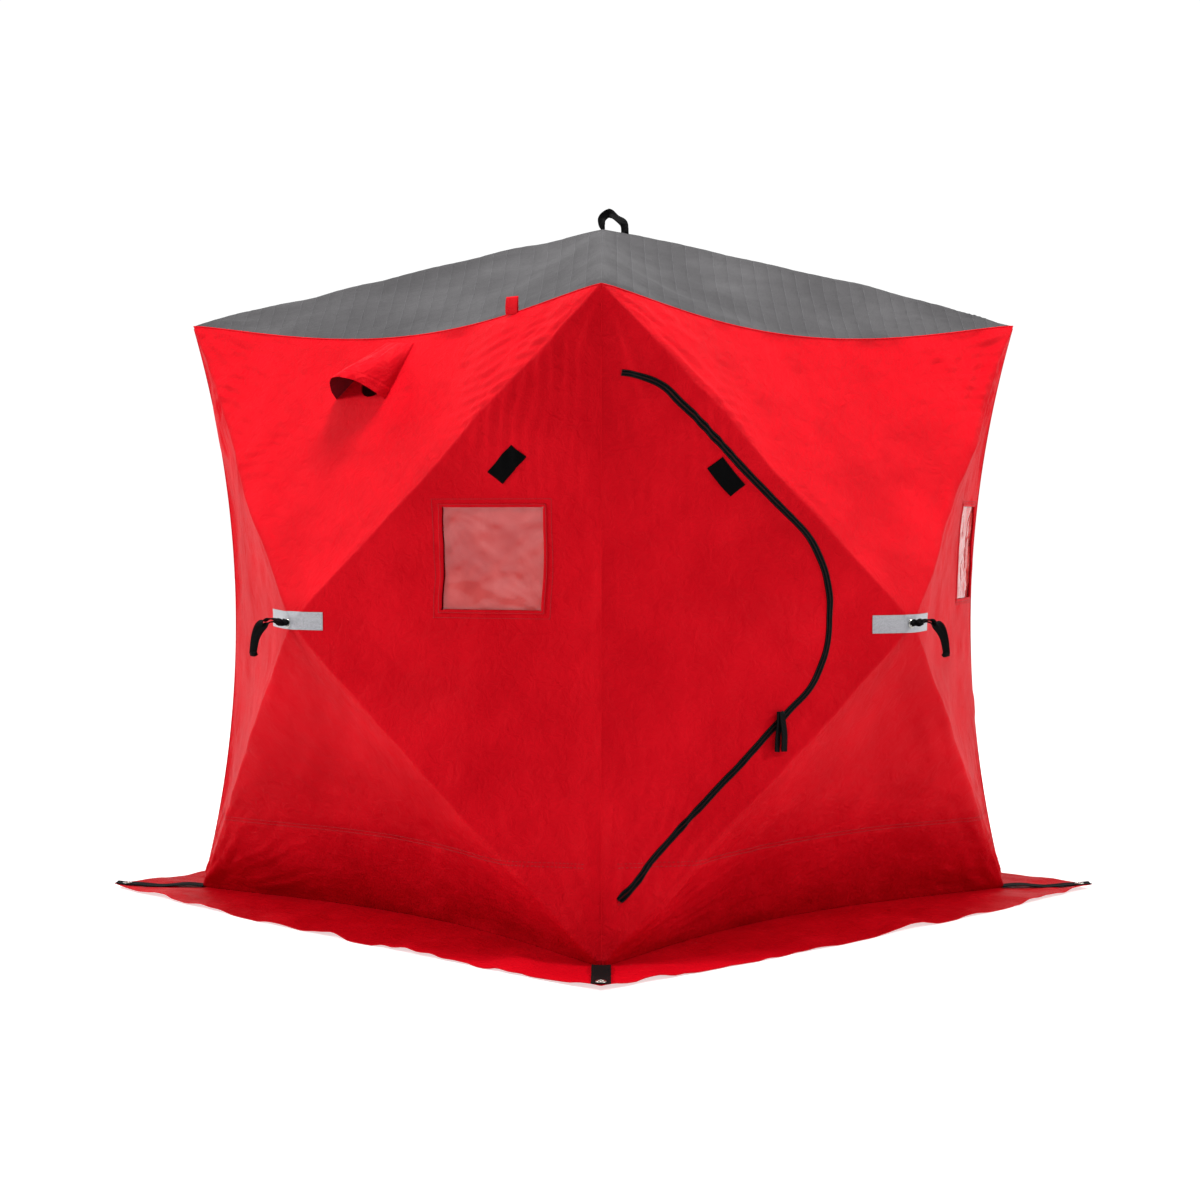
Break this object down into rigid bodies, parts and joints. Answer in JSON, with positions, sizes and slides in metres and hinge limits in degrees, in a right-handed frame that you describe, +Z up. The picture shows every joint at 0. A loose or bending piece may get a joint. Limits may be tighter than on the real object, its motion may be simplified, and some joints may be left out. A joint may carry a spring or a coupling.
{
  "type": "pop-up ice fishing shelter",
  "caption": "Square pop-up ice fishing shelter with red hub-tensioned fabric walls, a grey quilted roof, clear windows, a zipped fabric door and a snow skirt",
  "frame": {"origin": "centre of the footprint, on the ground", "axes": "+X to the right seen from the door side, +Y to the back, +Z up"},
  "size_m": [2.5846, 2.5846, 2.0972],
  "materials": {
    "red_fabric": "coated woven polyester",
    "grey_fabric": "quilted insulated polyester",
    "clear_vinyl": "soft clear film",
    "reflective_tape": "grey reflective tape",
    "webbing": "black woven webbing",
    "pole_glass": "fibreglass rod and moulded hub",
    "boot_plastic": "moulded nylon"
  },
  "bodies": {
    "shelter": {"back_frame": "pole_glass", "back_hub_reflector": "reflective_tape", "back_left_anchor_strap": "webbing", "back_left_foot_boot": "boot_plastic", "back_left_top_boot": "boot_plastic", "back_pull_strap": "webbing", "back_right_anchor_strap": "webbing", "back_right_foot_boot": "boot_plastic", "back_right_top_boot": "boot_plastic", "back_skirt": "red_fabric", "back_wall": "red_fabric", "back_wall_patch": "webbing", "back_window": "clear_vinyl", "front_frame": "pole_glass", "front_hub_reflector": "reflective_tape", "front_left_anchor_strap": "webbing", "front_left_foot_boot": "boot_plastic", "front_left_top_boot": "boot_plastic", "front_pull_strap": "webbing", "front_right_anchor_strap": "webbing", "front_right_foot_boot": "boot_plastic", "front_right_top_boot": "boot_plastic", "front_skirt": "red_fabric", "front_wall": "red_fabric", "front_window": "clear_vinyl", "left_eave_tab": "red_fabric", "left_frame": "pole_glass", "left_hub_reflector": "reflective_tape", "left_pull_strap": "webbing", "left_skirt": "red_fabric", "left_vent_hood": "red_fabric", "left_wall": "red_fabric", "left_wall_patch": "webbing", "left_window": "clear_vinyl", "right_frame": "pole_glass", "right_hub_reflector": "reflective_tape", "right_pull_strap": "webbing", "right_skirt": "red_fabric", "right_vent_hood": "red_fabric", "right_wall": "red_fabric", "right_wall_patch": "webbing", "right_window": "clear_vinyl", "roof": "grey_fabric", "roof_frame": "pole_glass", "roof_loop": "webbing"},
    "door": {"door_flap": "red_fabric", "door_zipper": "webbing", "zip_pull_left": "webbing", "zip_pull_right": "webbing", "door_patch": "webbing"}
  },
  "joints": [
    {"name": "door_hinge", "type": "hinge", "parent": "shelter", "child": "door", "pos_m": [-0.816, -0.884, 0.84], "axis": [0, 0, -1], "range_deg": [0, 120]}
  ]
}
